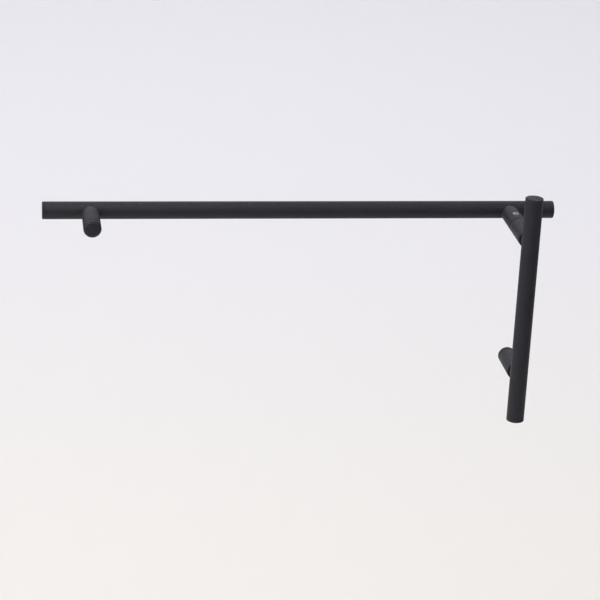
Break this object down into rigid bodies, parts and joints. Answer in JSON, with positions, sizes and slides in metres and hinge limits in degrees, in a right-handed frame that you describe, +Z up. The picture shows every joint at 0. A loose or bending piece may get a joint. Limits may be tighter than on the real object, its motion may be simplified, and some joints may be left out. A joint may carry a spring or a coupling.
{
  "type": "glass door towel bar and pull handle set",
  "caption": "Back-to-back door set in matt black round tube: a long level towel bar on one side of the glass and a short upright pull handle on the other, joined at a shared corner post.",
  "frame": {"origin": "the corner posts' axis at the middle of the glass, with the set closed", "axes": "+X along the towel bar towards the corner post and past it, +Y square to the glass from the pull handle to the towel bar, +Z up along the pull handle"},
  "size_m": [0.559, 0.13, 0.254],
  "materials": {
    "powder_coat": "fine matt black powder coat on steel",
    "bare_steel": "plain stainless steel, turned",
    "gasket": "black rubber gasket",
    "sleeve": "milky nylon sleeve"
  },
  "bodies": {
    "towel_half": {"towel_bar_tube": "powder_coat", "towel_bar_end_plug_right": "powder_coat", "towel_bar_end_plug_left": "powder_coat", "towel_bar_insert_corner": "bare_steel", "towel_bar_insert_left": "bare_steel", "towel_saddle_corner": "powder_coat", "towel_saddle_left": "powder_coat", "towel_post_corner": "powder_coat", "towel_post_left": "powder_coat", "towel_bar_studs": "bare_steel", "towel_gasket_corner": "gasket", "towel_gasket_left": "gasket", "corner_set_screw": "bare_steel"},
    "handle_half": {"pull_handle_tube": "powder_coat", "pull_handle_end_plug_top": "powder_coat", "pull_handle_end_plug_bottom": "powder_coat", "pull_handle_insert_corner": "bare_steel", "pull_handle_insert_lower": "bare_steel", "handle_saddle_corner": "powder_coat", "handle_saddle_lower": "powder_coat", "handle_post_corner": "powder_coat", "handle_post_lower": "powder_coat", "handle_bar_studs": "bare_steel", "handle_gasket_corner": "gasket", "handle_gasket_lower": "gasket", "corner_stud": "bare_steel", "corner_sleeve": "sleeve"},
    "towel_cap": {"towel_back_cap": "powder_coat", "towel_cap_stud": "bare_steel", "towel_cap_gasket": "gasket", "towel_cap_sleeve": "sleeve"},
    "handle_cap": {"handle_back_cap": "powder_coat", "handle_cap_stud": "bare_steel", "handle_cap_gasket": "gasket", "handle_cap_sleeve": "sleeve"}
  },
  "joints": [
    {"name": "glass_gap", "type": "slide", "parent": "towel_half", "child": "handle_half", "axis": [0, -1, 0], "range_m": [0, 0.012]},
    {"name": "towel_cap_travel", "type": "slide", "parent": "towel_half", "child": "towel_cap", "axis": [0, -1, 0], "range_m": [0, 0.012]},
    {"name": "handle_cap_travel", "type": "slide", "parent": "handle_half", "child": "handle_cap", "axis": [0, 1, 0], "range_m": [0, 0.012]}
  ],
  "couplings": [
    {"joint": "towel_cap_travel", "follows": "glass_gap", "ratio": 1},
    {"joint": "handle_cap_travel", "follows": "glass_gap", "ratio": 1}
  ]
}
